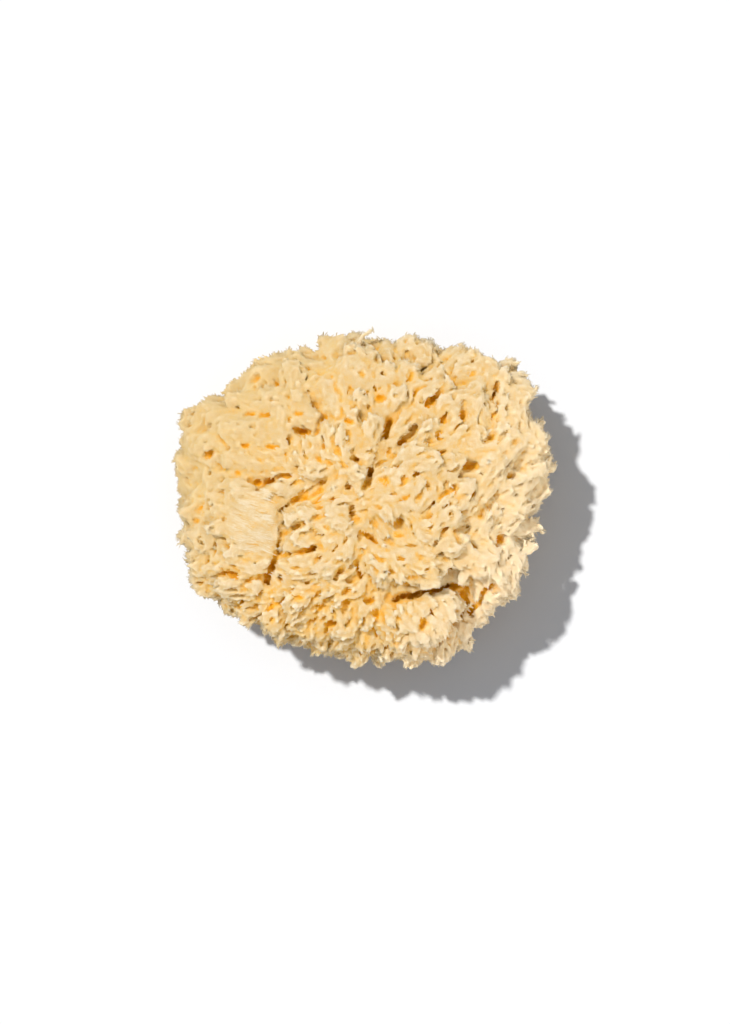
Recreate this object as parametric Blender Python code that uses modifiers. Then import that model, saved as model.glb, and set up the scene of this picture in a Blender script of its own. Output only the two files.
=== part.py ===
"""A natural bath sponge, lying as it would on a shelf: one grown piece, cut flat where it stood on the sea bed.

Metres, +Z up. The origin is on the flat cut, under the middle of the sponge. +X is its longest side.
"""

import math
import random

import bmesh
import bpy
from mathutils import Matrix, Vector, noise
from mathutils.bvhtree import BVHTree

MM = 0.001

# Driving dimensions.
OUTLINE_RADII = [67, 69, 74, 63, 58.5, 61, 65, 71, 68, 69, 64.5, 60.5, 59.5, 64, 63.5, 65]
OUTLINE_RADII = [radius * MM for radius in OUTLINE_RADII]
BELLY_HEIGHT = 27 * MM
CROWN_RISE = 38 * MM
BELLY_DROP = 34 * MM
FULLNESS = 2.4
FRINGE = 2.2 * MM

# The great lobes: centre in plan, from above.
LOBE_CENTRES = [
    (-49, -5), (-17, -16), (-36, 36), (2, 46), (-8, 21), (38, 43), (50, 12),
    (23, 3), (20, -25), (23, -47), (-25, -45), (51, -33), (-58, 20), (-50, -38),
]
LOBE_CENTRES = [Vector((x * MM, y * MM)) for x, y in LOBE_CENTRES]
LOBE_SWELL = 5 * MM
VALLEY_WIDTH = 5 * MM

# Crevices between the lobes, in plan: half width, depth, then the points along each.
CREVICES = [
    (3.0, 5.0, [(-12, 8), (-17, 4), (-24, 0), (-30, -4), (-30.5, -12), (-31, -20), (-34, -28), (-36, -34)]),
    (2.4, 4.0, [(-26, 24), (-20, 24), (-15, 29)]),
    (2.2, 4.5, [(8, 29), (7.5, 22), (4, 14), (1, 8)]),
    (2.2, 4.0, [(-3, -11), (-3.5, -20), (-1, -28), (3, -35)]),
    (2.2, 3.5, [(-3, -11), (4, -16)]),
    (4.4, 6.5, [(10, -35), (18, -34), (25, -32), (31, -30), (36, -31), (40, -35)]),
    (2.8, 4.0, [(28, -52), (34, -46), (38, -40), (43, -32), (48, -24)]),
    (2.2, 3.5, [(-39, 7), (-34, 7), (-29, 9)]),
    (2.4, 3.5, [(44, 44), (47, 38), (46, 32)]),
]

# Pores seen from above: place, radius across, radius along, heading of the long way in degrees, depth.
PORES = [
    (5, 36, 1.7, 1.7, 0, 7), (-56.5, 16, 1.6, 2.6, 15, 6), (-39, 30.5, 1.6, 4.2, -5, 6),
    (-24, 30.5, 1.5, 2.4, 0, 5), (-33, 19, 1.4, 3.2, 0, 6), (-8, 28, 1.5, 3.4, -10, 6),
    (17, 25, 2.2, 4.4, 60, 8), (12, 19, 1.9, 3.2, 40, 8), (27, 28.5, 1.7, 1.9, 0, 6),
    (34.5, 31, 2.0, 2.8, 70, 8), (30, 39, 1.5, 3.2, 40, 6), (45, 22.5, 1.6, 2.8, 55, 6),
    (54, 21, 1.9, 2.6, 30, 6), (37, 12.5, 1.8, 3.8, 5, 9), (38, 2, 1.6, 1.6, 0, 7),
    (-3, 14, 1.6, 2.4, -30, 8), (2, 9, 1.7, 3.0, 60, 10), (-4.5, -4, 1.5, 2.8, 95, 9),
    (11, -8, 1.6, 3.6, 15, 7), (26, -18, 1.9, 3.0, -50, 10), (48, -14.5, 2.0, 2.4, 90, 7),
    (35, -11, 1.5, 3.2, -60, 6), (42, -5, 1.6, 3.4, 65, 6), (-28, -47, 1.7, 2.2, 30, 6),
    (-14, -42, 1.6, 2.6, 20, 6), (6, -44, 1.7, 2.4, 80, 6), (-46, -30, 1.6, 3.6, 5, 6),
]

# Finger-like tufts that cover the sponge and are fused to it.
FINGERS = 360
FINGER_LENGTH = (10 * MM, 16 * MM)
FINGER_WIDTH = (6 * MM, 9 * MM)
FINGER_LIFT = 0.2 * MM
LOWEST_FINGER = -0.6
SMOOTHING_STEPS = 8

# Smaller pores that lie all over the sponge.
SMALL_PORES = 130
SMALL_PORE_RADIUS = (1.8 * MM, 2.7 * MM)
SMALL_PORE_DEPTH = (5 * MM, 8 * MM)

# Canals that the cut laid open in the base.
CANALS = 34
CANAL_RADIUS = (1.4 * MM, 3.0 * MM)
CANAL_DEPTH = 9 * MM
CANAL_FREE_RADIUS = 7 * MM

# A wisp of skeleton that stands out at the back.
WISP = [(-5, 52, 30), (-3, 57, 31), (-0.5, 60.5, 31), (3, 62.5, 30)]
WISP_RADIUS = 1.4 * MM

FORM_VOXEL = 1.1 * MM
CUTTER_VOXEL = 0.8 * MM
FACE_TARGET = 9700
SEED = 11

COLOUR = (0.84, 0.60, 0.32, 1.0)
ROUGHNESS = 0.95


def clear_scene():
    """Removes what Blender starts with."""
    for obj in list(bpy.data.objects):
        bpy.data.objects.remove(obj)


def new_collection(name):
    """A collection in the scene."""
    collection = bpy.data.collections.new(name)
    bpy.context.scene.collection.children.link(collection)
    return collection


def linked(name, shells, collection):
    """A linked object made of closed shells, each a list of vertices and a list of faces."""
    vertices = []
    faces = []
    for shell_vertices, shell_faces in shells:
        start = len(vertices)
        vertices += shell_vertices
        faces += [[start + i for i in face] for face in shell_faces]
    mesh = bpy.data.meshes.new(name)
    mesh.from_pydata(vertices, [], faces)
    obj = bpy.data.objects.new(name, mesh)
    collection.objects.link(obj)
    return obj


def applied(obj):
    """Replaces an object's mesh by what its modifiers make of it."""
    bpy.context.view_layer.update()
    graph = bpy.context.evaluated_depsgraph_get()
    mesh = bpy.data.meshes.new_from_object(obj.evaluated_get(graph))
    obj.modifiers.clear()
    obj.data = mesh
    return obj


def fuse(obj, voxel):
    """Joins the overlapping shells of an object into one skin."""
    remesh = obj.modifiers.new("fuse", "REMESH")
    remesh.mode = "VOXEL"
    remesh.voxel_size = voxel
    return applied(obj)


def keep_largest_shell(obj):
    """Drops loose crumbs and sealed bubbles, which are shells of their own."""
    bm = bmesh.new()
    bm.from_mesh(obj.data)
    unseen = set(bm.verts)
    shells = []
    while unseen:
        front = [unseen.pop()]
        shell = list(front)
        while front:
            near = {edge.other_vert(vert) for vert in front for edge in vert.link_edges}
            front = list(near & unseen)
            unseen.difference_update(front)
            shell += front
        shells.append(shell)
    shells.sort(key=len)
    crumbs = [vert for shell in shells[:-1] for vert in shell]
    bmesh.ops.delete(bm, geom=crumbs, context="VERTS")
    bm.to_mesh(obj.data)
    bm.free()


def outline_radius(angle):
    """Plan radius at an angle from +X: a closed Catmull-Rom curve through OUTLINE_RADII."""
    count = len(OUTLINE_RADII)
    place = angle / math.tau * count
    i = math.floor(place)
    t = place - i
    a, b, c, d = (OUTLINE_RADII[(i + k) % count] for k in (-1, 0, 1, 2))
    return b + t * (c - a + t * (2 * a - 5 * b + 4 * c - d + t * (3 * (b - c) + d - a))) / 2


def valley_depth(x, y):
    """How far the surface lies below the crowns of the two nearest great lobes."""
    at = Vector((x, y)) + 4 * MM * noise.noise_vector(Vector((x, y, 0)) / (18 * MM)).to_2d()
    first, second = sorted((at - centre).length for centre in LOBE_CENTRES)[:2]
    return LOBE_SWELL * math.exp(-(second - first) / VALLEY_WIDTH)


def body_point(direction):
    """Point of the plain cushion form in a direction from the middle of its belly."""
    reach = outline_radius(math.atan2(direction.y, direction.x)) - FRINGE
    height = CROWN_RISE if direction.z > 0 else BELLY_DROP
    across = math.hypot(direction.x, direction.y) / reach
    scale = (across**FULLNESS + (abs(direction.z) / height) ** FULLNESS) ** (-1 / FULLNESS)
    point = direction * scale
    point -= direction * valley_depth(point.x, point.y)
    point -= direction * 2.2 * MM * noise.fractal(point / (14 * MM), 0.7, 2.0, 3)
    return point + Vector((0, 0, BELLY_HEIGHT))


def ball(subdivisions):
    """Vertices and faces of a ball of radius 1."""
    bm = bmesh.new()
    bmesh.ops.create_icosphere(bm, subdivisions=subdivisions, radius=1)
    vertices = [vert.co.copy() for vert in bm.verts]
    faces = [[vert.index for vert in face.verts] for face in bm.faces]
    bm.free()
    return vertices, faces


def cushion():
    """The plain form that the fingers grow on."""
    vertices, faces = ball(6)
    return [body_point(vertex) for vertex in vertices], faces


def spread_directions(count):
    """Even directions round a ball, by the golden angle."""
    golden = math.pi * (3 - math.sqrt(5))
    for i in range(count):
        z = 1 - 2 * (i + 0.5) / count
        across = math.sqrt(1 - z * z)
        yield Vector((across * math.cos(golden * i), across * math.sin(golden * i), z))


def ellipsoid(centre, axis, side, radii):
    """A ball stretched along axis, side and the third way."""
    along = axis.normalized()
    across = (side - along * side.dot(along)).normalized()
    turn = Matrix((along, across, along.cross(across))).transposed().to_4x4()
    place = Matrix.Translation(centre) @ turn @ Matrix.Diagonal((*radii, 1))
    vertices, faces = UNIT_BALL
    return [place @ vertex for vertex in vertices], faces


def fingers(skin, rng):
    """Short fingers that lie outwards and down the slope of the skin."""
    shells = []
    for direction in spread_directions(FINGERS):
        if direction.z < LOWEST_FINGER:
            continue
        point = body_point((direction + 0.05 * Vector(noise.random_unit_vector())).normalized())
        _, normal, _, _ = skin.find_nearest(point)
        outward = Vector((point.x, point.y, 0)).normalized()
        outward.rotate(Matrix.Rotation(rng.uniform(-0.7, 0.7), 3, "Z"))
        steep = 1 - max(normal.z, 0)
        axis = outward + normal * (0.1 + 0.6 * steep)
        length = rng.uniform(*FINGER_LENGTH) * (1 - 0.35 * steep)
        width = rng.uniform(*FINGER_WIDTH)
        radii = (length / 2, width / 2, width * 0.42)
        shells.append(ellipsoid(point + normal * FINGER_LIFT, axis, axis.cross(normal), radii))
    return shells


def wisp():
    """The loose strand at the back: a row of overlapping balls that taper."""
    points = [Vector(p) * MM for p in WISP]
    shells = []
    for i, (a, b) in enumerate(zip(points, points[1:])):
        radius = WISP_RADIUS * (1 - 0.2 * i)
        length = (b - a).length
        shells.append(ellipsoid((a + b) / 2, b - a, Vector((0, 0, 1)), (length * 0.75, radius, radius)))
    return shells


def whole_form(collection):
    """The cushion with its fingers and wisp, fused into one skin."""
    body = cushion()
    skin = BVHTree.FromPolygons(*body)
    shells = [body, *fingers(skin, random.Random(SEED)), *wisp()]
    return fuse(linked("sponge", shells, collection), FORM_VOXEL)


def surface_below(skin, x, y):
    """Where a vertical line meets the top of the skin, and the normal there."""
    point, normal, _, _ = skin.ray_cast(Vector((x, y, 1)), Vector((0, 0, -1)))
    return point, normal


def crevices(skin):
    """Rows of balls sunk in the surface along each crevice."""
    shells = []
    for half_width, depth, path in CREVICES:
        points = [Vector(p) * MM for p in path]
        for a, b in zip(points, points[1:]):
            steps = max(1, round((b - a).length / (half_width * MM)))
            for i in range(steps + 1):
                at = a.lerp(b, i / steps)
                point, normal = surface_below(skin, at.x, at.y)
                across = half_width * MM * (0.75 + 0.5 * noise.random())
                radii = ((b - a).length / steps, across, depth * MM)
                heading = Vector((b.x - a.x, b.y - a.y, 0))
                shells.append(ellipsoid(point - normal * 0.8 * MM, heading, heading.cross(normal), radii))
    return shells


def pores(skin):
    """Pores that lead down into the sponge from its top."""
    shells = []
    for x, y, across, along, heading, depth in PORES:
        point, normal = surface_below(skin, x * MM, y * MM)
        turn = math.radians(heading)
        side = Vector((math.cos(turn), math.sin(turn), 0))
        radii = (depth * MM, along * MM, across * MM)
        shells.append(ellipsoid(point, Vector((0, 0, 1)) + 0.4 * normal, side, radii))
    return shells


def small_pores(skin, rng):
    """Pores sunk square to the skin, all round."""
    shells = []
    for direction in spread_directions(SMALL_PORES):
        if direction.z < LOWEST_FINGER:
            continue
        turned = direction + 0.1 * Vector(noise.random_unit_vector())
        point, normal, _, _ = skin.find_nearest(body_point(turned.normalized()))
        radius = rng.uniform(*SMALL_PORE_RADIUS)
        radii = (rng.uniform(*SMALL_PORE_DEPTH), radius * rng.uniform(1, 1.9), radius)
        outward = Vector((point.x, point.y, 0))
        shells.append(ellipsoid(point, normal, outward + 0.1 * MM * normal.orthogonal(), radii))
    return shells


def canals(rng):
    """Canals that run up from the cut base, clear of its middle."""
    shells = []
    for i in range(CANALS):
        reach = CANAL_FREE_RADIUS + 34 * MM * math.sqrt((i + 0.5) / CANALS)
        angle = i * 2.4 + rng.uniform(-0.3, 0.3)
        foot = Vector((reach * math.cos(angle), reach * 0.9 * math.sin(angle), 0))
        radius = rng.uniform(*CANAL_RADIUS)
        lean = Vector((rng.uniform(-0.4, 0.4), rng.uniform(-0.4, 0.4), 1))
        shells.append(ellipsoid(foot, lean, Vector((1, 0, 0)), (CANAL_DEPTH, radius, radius * 0.8)))
    return shells


def hollows(form, collection):
    """The cutter: every crevice, pore and canal, fused into one closed mesh."""
    polygons = [list(polygon.vertices) for polygon in form.data.polygons]
    skin = BVHTree.FromPolygons([vert.co for vert in form.data.vertices], polygons)
    rng = random.Random(SEED + 1)
    shells = [*crevices(skin), *pores(skin), *small_pores(skin, rng), *canals(rng)]
    return hidden(fuse(linked("hollows", shells, collection), CUTTER_VOXEL))


def ground_block(collection):
    """The cutter that takes off all that lies below the flat base."""
    half = 200 * MM
    vertices = [
        Vector((x * half, y * half, z * half))
        for z in (-1, 0) for y in (-1, 1) for x in (-1, 1)
    ]
    faces = [[0, 2, 3, 1], [4, 5, 7, 6], [0, 1, 5, 4], [2, 6, 7, 3], [0, 4, 6, 2], [1, 3, 7, 5]]
    return hidden(linked("below_cut", [(vertices, faces)], collection))


def hidden(obj):
    """Marks a cutter, so that it is no part of the object."""
    obj.hide_render = True
    obj.display_type = "WIRE"
    return obj


def subtract(obj, cutter):
    """Cuts one object from another."""
    boolean = obj.modifiers.new(cutter.name, "BOOLEAN")
    boolean.operation = "DIFFERENCE"
    boolean.object = cutter
    return applied(obj)


def smooth(obj, steps):
    """Takes the sharpest edges off a mesh."""
    smoothing = obj.modifiers.new("smooth", "SMOOTH")
    smoothing.factor = 0.5
    smoothing.iterations = steps
    return applied(obj)


def thin_out(obj, faces):
    """Brings a mesh down to about this many triangles, keeping its creases."""
    obj.data.calc_loop_triangles()
    decimate = obj.modifiers.new("thin_out", "DECIMATE")
    decimate.ratio = faces / len(obj.data.loop_triangles)
    decimate.use_collapse_triangulate = True
    return applied(obj)


def centre_on_origin(obj):
    """Moves the mesh so that the middle of its box lies over the origin, on the flat cut."""
    xs = [v.co.x for v in obj.data.vertices]
    ys = [v.co.y for v in obj.data.vertices]
    middle = Vector((min(xs) + max(xs), min(ys) + max(ys), 0)) / 2
    obj.data.transform(Matrix.Translation(-middle))


def sponge_material():
    """Cream, dull and dry."""
    material = bpy.data.materials.new("dry_sponge")
    material.use_nodes = True
    shader = material.node_tree.nodes["Principled BSDF"]
    shader.inputs["Base Color"].default_value = COLOUR
    shader.inputs["Roughness"].default_value = ROUGHNESS
    shader.inputs["Metallic"].default_value = 0
    return material


def main():
    clear_scene()
    noise.seed_set(SEED)
    parts = new_collection("sea_sponge")
    cutters = new_collection("cutters")
    sponge = smooth(whole_form(parts), SMOOTHING_STEPS)
    subtract(sponge, hollows(sponge, cutters))
    fuse(sponge, FORM_VOXEL)
    keep_largest_shell(sponge)
    thin_out(sponge, FACE_TARGET)
    subtract(sponge, ground_block(cutters))
    keep_largest_shell(sponge)
    centre_on_origin(sponge)
    sponge.data.materials.append(sponge_material())


UNIT_BALL = ball(2)
main()
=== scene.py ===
"""Looks of the natural bath sponge: its lobes, pits and fibres, in millimetres until they become meshes."""

import math
import random

import bpy
import numpy as np
import openvdb
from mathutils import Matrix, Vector


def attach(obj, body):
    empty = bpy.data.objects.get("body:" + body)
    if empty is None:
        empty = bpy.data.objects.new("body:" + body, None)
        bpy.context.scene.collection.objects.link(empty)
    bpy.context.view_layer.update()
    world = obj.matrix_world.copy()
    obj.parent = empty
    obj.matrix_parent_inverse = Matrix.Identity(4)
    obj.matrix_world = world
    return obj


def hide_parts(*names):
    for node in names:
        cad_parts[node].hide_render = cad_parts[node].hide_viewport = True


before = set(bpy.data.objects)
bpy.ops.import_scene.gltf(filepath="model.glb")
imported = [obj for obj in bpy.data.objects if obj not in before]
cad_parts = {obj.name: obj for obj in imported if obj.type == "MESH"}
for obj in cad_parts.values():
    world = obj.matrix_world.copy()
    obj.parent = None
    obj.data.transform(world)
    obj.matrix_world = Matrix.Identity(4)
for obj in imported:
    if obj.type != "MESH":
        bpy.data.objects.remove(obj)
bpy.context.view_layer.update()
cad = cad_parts["sponge"]
rng = random.Random(5)
grid_rng = np.random.default_rng(5)

MM = 0.001
UP = np.array([0.0, 0.0, 1.0])

# The photograph looks straight down: its size, millimetres to a pixel, and the pixel over the origin.
PHOTO_SIZE = (730, 1024)
PHOTO_SCALE = 0.366
PHOTO_CENTRE = (366, 500)

# Lengths are in millimetres from here down to the materials, unless they say pixels.

# Sculpting grid: its cell, spare cells round the solid, and how many cells out its distances reach. The solid
# is carried on down from its flat base, which is cut again at the end.
VOXEL = 0.5
MARGIN = 9
BAND = 14
BELOW = -10.0
BASE_TOUCH = 0.01

# The sponge without its lobes lies this far inside the solid, whose facets are blurred away.
SKIN_DEPTH = 1.0
FACET_BLUR = 1.2

# Where the granular south, the paddled east and the soft north-west begin, and over what distance.
SOUTH_FROM, SOUTH_OVER = -24, 12
EAST_FROM, EAST_OVER = 42, 10
SOFT_FROM, SOFT_OVER = 28, 14

# Lobes in the middle, the south, the east and the soft north-west.
LOBE_WIDTHS = (5.0, 2.9, 6.2, 5.8)
LOBE_LENGTHS = (8.0, 3.8, 11.0, 9.0)

# Least distance between lobes in the middle, in the south, and in both the east and the north-west, and where
# it changes: south of the first, east of the second and north-west of the third.
LOBE_GAPS = (3.8, 2.7, 4.2)
GAP_EDGES = (-28, 46, 38)

# Least distances between other neighbours, in the south and elsewhere, and how many places are tried.
PIT_GAPS = (4.9, 4.9)
FLAKE_GAPS = (1.6, 2.1)
GROOVE_GAPS = (2.5, 3.8)
TRIES = 70000
FLAKE_TRIES = 130000

# Deep pits and shallow grooves: half width, half length and depth, each from and to, and the share of them
# that the soft north-west goes without.
PIT = ((0.6, 1.5), (0.2, 2.0), (1.0, 3.2), 0.4)
GROOVE = ((0.3, 0.5), (0.8, 2.4), (0.1, 0.6), 0.6)

# Pores and crevices: share of the listed depth and width that they get, and their steps down as shares of
# depth and width.
PORE_SINK = 0.6
PORE_WIDTH = 1.25
CREVICE_WIDTH = 0.95
PORE_STEPS = ((0.1, 1.05), (0.5, 0.9), (1.0, 0.7))

# The felt's grain, as height and spacing of its bumps, and how many triangles the body is brought down to.
GRAIN = ((0.10, 1.1), (0.16, 2.2))
BODY_TRIANGLES = 192000

# Fibres: how many, the rings along each as shares of its length and width, how flat it is, and how low it may
# lie. Skin that lies deeper in a pit than OUT_OF_PITS bears none.
STRAND_PIECES = 4
STRANDS_EACH = 11500
STRAND_RINGS = ((-0.3, 0.9), (0.3, 1.0), (0.78, 0.7))
STRAND_SIDES = 3
STRAND_FLAT = 1.8
STRAND_LOWEST = 0.05
OUT_OF_PITS = -0.12

# How far the shading normals lean to those of a blurred form, and how much that form's face up.
BODY_SOFTNESS = 0.6
STRAND_SOFTNESS = 0.8
NORMAL_RISE = 0.6

# How far the visible outline stands out from the solid's, every 15 degrees from +X, and the distances from
# the middle where this begins and where it holds in full.
OUTLINE_TRIM = [
    -1.8, -0.6, 0.0, -2.4, -4.0, -3.8, -0.7, -1.2, -1.5, -2.2, -0.1, 0.2,
    0.5, 0.6, 1.6, 1.9, 0.4, 0.6, 1.9, 0.2, 2.9, 0.8, 0.8, -4.4,
]
TRIM_FROM, TRIM_FULL = 30, 55

# Where the lobes head, read off the photograph: pixel, then heading in degrees from its right.
FLOW = [
    (440, 410, 50), (400, 440, 55), (485, 400, 75), (505, 440, 48), (460, 466, 12), (440, 500, 60),
    (480, 515, 72), (520, 508, 20), (545, 480, 10), (492, 560, -75), (425, 560, -8), (425, 620, -80),
    (310, 530, 188), (300, 560, 185), (330, 590, 215), (255, 520, 160), (230, 560, 195), (250, 590, 205),
    (300, 640, 245), (370, 655, 268), (440, 650, 290), (480, 620, -50), (525, 560, -20), (350, 420, 95),
    (300, 400, 120), (250, 400, 150), (215, 440, 165), (195, 500, 180), (400, 355, 80), (450, 365, 65),
    (510, 375, 45), (350, 350, 95), (300, 360, 115), (380, 480, 20), (345, 500, 200), (390, 530, -60),
]

# Crevices: half width and depth in millimetres, then pixels along each.
CREVICES = [
    (0.7, 2.0, [(323, 490), (312, 497), (300, 499), (286, 508)]),
    (1.0, 3.0, [(279, 551), (275, 565), (268, 585)]),
    (1.0, 4.0, [(295, 433), (318, 435), (325, 419)]),
    (1.1, 5.0, [(389, 421), (385, 442)]),
    (1.2, 4.0, [(414, 430), (408, 438), (398, 448)]),
    (1.0, 6.0, [(368, 470), (371, 476), (365, 489)]),
    (1.0, 5.0, [(353, 459), (362, 464)]),
    (0.8, 4.0, [(361, 531), (370, 536), (380, 545)]),
    (0.8, 4.0, [(358, 560), (359, 570), (363, 578)]),
    (0.8, 3.5, [(345, 565), (338, 572), (336, 579)]),
    (1.1, 6.0, [(392, 598), (402, 593), (411, 595), (420, 590), (430, 590), (438, 586), (449, 583)]),
    (0.9, 4.0, [(458, 592), (466, 602), (461, 613), (452, 624), (449, 634), (440, 642)]),
    (0.7, 2.5, [(492, 580), (483, 590), (477, 602), (468, 612)]),
    (0.9, 3.5, [(283, 534), (300, 525), (310, 521)]),
    (0.9, 3.5, [(282, 553), (300, 551), (322, 547)]),
    (0.9, 3.0, [(215, 575), (232, 572), (240, 577)]),
    (0.9, 3.5, [(495, 385), (494, 393), (488, 401)]),
    (1.0, 4.0, [(443, 392), (430, 402), (424, 411)]),
    (0.9, 3.0, [(255, 482), (268, 486), (283, 477), (292, 476)]),
    (0.8, 3.0, [(436, 500), (445, 492), (455, 486)]),
    (0.8, 3.5, [(387, 522), (395, 524), (402, 518)]),
]

# The sheet of fine fibres in the west, in pixels: its rows from left to right edge, its columns, the crevice
# under its right edge, and the oval that its fibres fill: centre, half sizes and right edge. Then the way that
# its fibres lie, their least height in millimetres, and how many there are.
FAN_ROWS = ((499, 503), (510, 517), (521, 531), (533, 545))
FAN_COLUMNS = (236, 260, 281)
FAN_EDGE = [(287, 506), (283, 513), (286, 520), (282, 528), (284, 536), (280, 543), (281, 552)]
FAN_OVAL = (263, 522, 34, 31, 269)
FAN_WAY = (0.97, -0.24, 0.0)
FAN_LOWEST = 20
FAN_FIBRES = 420

# Pores: pixel, half width, half length in millimetres, heading in degrees, depth.
PORES = [
    (380, 401, 1.4, 1.6, 0, 5), (377, 362, 1.0, 1.6, 70, 3), (212, 456, 1.3, 2.2, 20, 5),
    (268, 417, 1.0, 2.6, -8, 4), (252, 416, 0.8, 2.4, 10, 3), (301, 417, 0.8, 1.8, 0, 3),
    (275, 448, 0.8, 2.6, -10, 4), (249, 447, 0.8, 1.5, 0, 3), (338, 421, 0.8, 1.8, 20, 4),
    (349, 424, 0.9, 1.8, -20, 4), (440, 422, 1.2, 1.3, 0, 5), (461, 417, 1.5, 2.0, 60, 6),
    (467, 467, 1.5, 3.0, 8, 7), (470, 494, 1.0, 1.4, 70, 5), (242, 474, 0.7, 1.0, -30, 4),
    (275, 483, 0.9, 2.6, 20, 4), (353, 511, 1.0, 2.2, 95, 6), (438, 549, 1.0, 2.2, -40, 8),
    (443, 558, 0.9, 1.4, 0, 4), (498, 539, 1.6, 1.8, 0, 5), (479, 513, 1.2, 2.8, 68, 5),
    (455, 535, 1.0, 3.2, -62, 5), (489, 438, 1.1, 2.4, 55, 5), (513, 442, 1.3, 2.2, 30, 4),
    (509, 475, 1.0, 2.2, 5, 4), (448, 514, 0.9, 1.0, 0, 4), (426, 567, 0.8, 1.0, 0, 4),
    (347, 600, 1.2, 1.6, 30, 5), (327, 527, 0.8, 1.3, -20, 3), (236, 573, 1.0, 2.6, 5, 4),
    (265, 575, 1.0, 1.8, 0, 4), (246, 600, 1.0, 3.0, 60, 3), (421, 622, 1.1, 2.2, 60, 5),
    (388, 595, 1.2, 2.0, 60, 5), (370, 598, 1.3, 1.6, 0, 5), (492, 588, 1.5, 2.0, 40, 5),
    (440, 455, 0.7, 2.6, 20, 3), (427, 460, 0.6, 1.5, 0, 2.5), (382, 480, 0.8, 2.0, 10, 4),
    (395, 470, 0.7, 1.4, 0, 3), (352, 357, 0.9, 1.8, 0, 3), (338, 358, 0.8, 1.8, 0, 2.5),
    (309, 372, 0.7, 1.6, 80, 2.5), (255, 380, 1.2, 2.6, 20, 3), (362, 378, 0.7, 1.4, -50, 2.5),
    (415, 395, 0.8, 1.8, 45, 3), (200, 520, 0.9, 1.3, 0, 3), (230, 545, 0.8, 3.0, -20, 3),
    (335, 500, 0.8, 1.2, 0, 4), (322, 507, 0.7, 1.0, 0, 3), (375, 610, 1.0, 1.6, 20, 4),
    (332, 620, 1.0, 2.0, 20, 4), (410, 575, 0.7, 2.4, -8, 3), (390, 570, 0.7, 2.2, 0, 3),
    (400, 557, 0.7, 1.6, 0, 3), (520, 470, 0.9, 2.0, 0, 3),
]

# The open end of the hollow under the shelf, as pores.
HOLLOW = [
    (440, 590, 1.4, 1.9, 10, 6), (449, 588, 1.8, 2.2, 20, 6), (458, 590, 2.0, 2.4, -30, 7),
    (465, 595, 1.5, 2.0, -60, 7),
]

# Broad paddles: pixels along each, and half width in millimetres.
PADDLES = [
    ([(478, 512), (486, 548), (496, 582)], 2.6), ([(500, 480), (522, 474), (540, 469)], 2.4),
    ([(502, 505), (524, 499), (542, 493)], 2.4), ([(506, 452), (522, 443), (534, 436)], 2.2),
    ([(506, 530), (522, 529), (534, 525)], 2.4), ([(516, 562), (524, 553), (531, 546)], 2.0),
    ([(500, 420), (516, 404), (528, 392)], 2.4), ([(470, 400), (480, 382), (486, 366)], 2.2),
    ([(462, 540), (470, 556), (474, 572)], 2.0),
]

# Teeth that comb out each paddle's end, and the steepest fall of any lobe laid along the top.
COMB_TEETH = 6
STEEPEST = 0.9

# The ragged shelf, in pixels: its edge from left to right, the hollow under it, and the flap below.
SHELF_EDGE = ((372, 600), (462, 576))
SHELF_HOLLOW = [
    (396, 597), (404, 594), (414, 592), (424, 590), (434, 587), (444, 584), (454, 585), (463, 589),
]
SHELF_TEETH = 26
FLAP_X = (402, 452)
FLAP_Y = (600, 636)
FLAP_TUFTS = 40

# The wisp at the back, in pixels, and its height.
WISP = ((354, 356), (358, 347), (363, 338), (370, 330))
WISP_HEIGHT = 42.0

# Upright lobes that fill a notch of the back: pixel, lowest and highest point, and radius.
NOTCH_FILLS = ((421, 358, 10.0, 38.0, 3.4), (413, 357, 14.0, 32.0, 2.8))


def plan(px, py):
    """Millimetres in plan of a pixel of the photograph."""
    return (px - PHOTO_CENTRE[0]) * PHOTO_SCALE, (PHOTO_CENTRE[1] - py) * PHOTO_SCALE


def mix(a, b, t):
    """From a at 0 to b at 1."""
    return a + (b - a) * t


def ease(t):
    """0 before 0, 1 after 1, smooth between."""
    t = min(max(t, 0.0), 1.0)
    return t * t * (3 - 2 * t)


# The grid that the sponge is sculpted in.


def cad_field():
    """Signed distance to the CAD solid, carried on below its flat base, and its lowest voxel."""
    mesh = cad.data
    points = np.empty(len(mesh.vertices) * 3, np.float32)
    mesh.vertices.foreach_get("co", points)
    points = points.reshape(-1, 3) / MM
    mesh.calc_loop_triangles()
    triangles = np.empty(len(mesh.loop_triangles) * 3, np.int32)
    mesh.loop_triangles.foreach_get("vertices", triangles)
    triangles = triangles.reshape(-1, 3)
    low = np.floor(points.min(0) / VOXEL).astype(int) - MARGIN
    high = np.ceil(points.max(0) / VOXEL).astype(int) + MARGIN
    points[points[:, 2] < BASE_TOUCH, 2] = BELOW
    points, triangles = welded(points, triangles)
    grid = openvdb.FloatGrid.createLevelSetFromPolygons(
        points,
        triangles=triangles.astype(np.uint32),
        transform=openvdb.createLinearTransform(voxelSize=VOXEL),
        halfWidth=float(BAND),
    )
    field = np.empty(tuple(high - low), np.float32)
    grid.copyToArray(field, ijk=tuple(int(i) for i in low))
    return field, low


def welded(points, triangles):
    """Merges points that share a place."""
    _, first, inverse = np.unique(np.round(points, 4), axis=0, return_index=True, return_inverse=True)
    return points[first], inverse.reshape(-1)[triangles]


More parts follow.
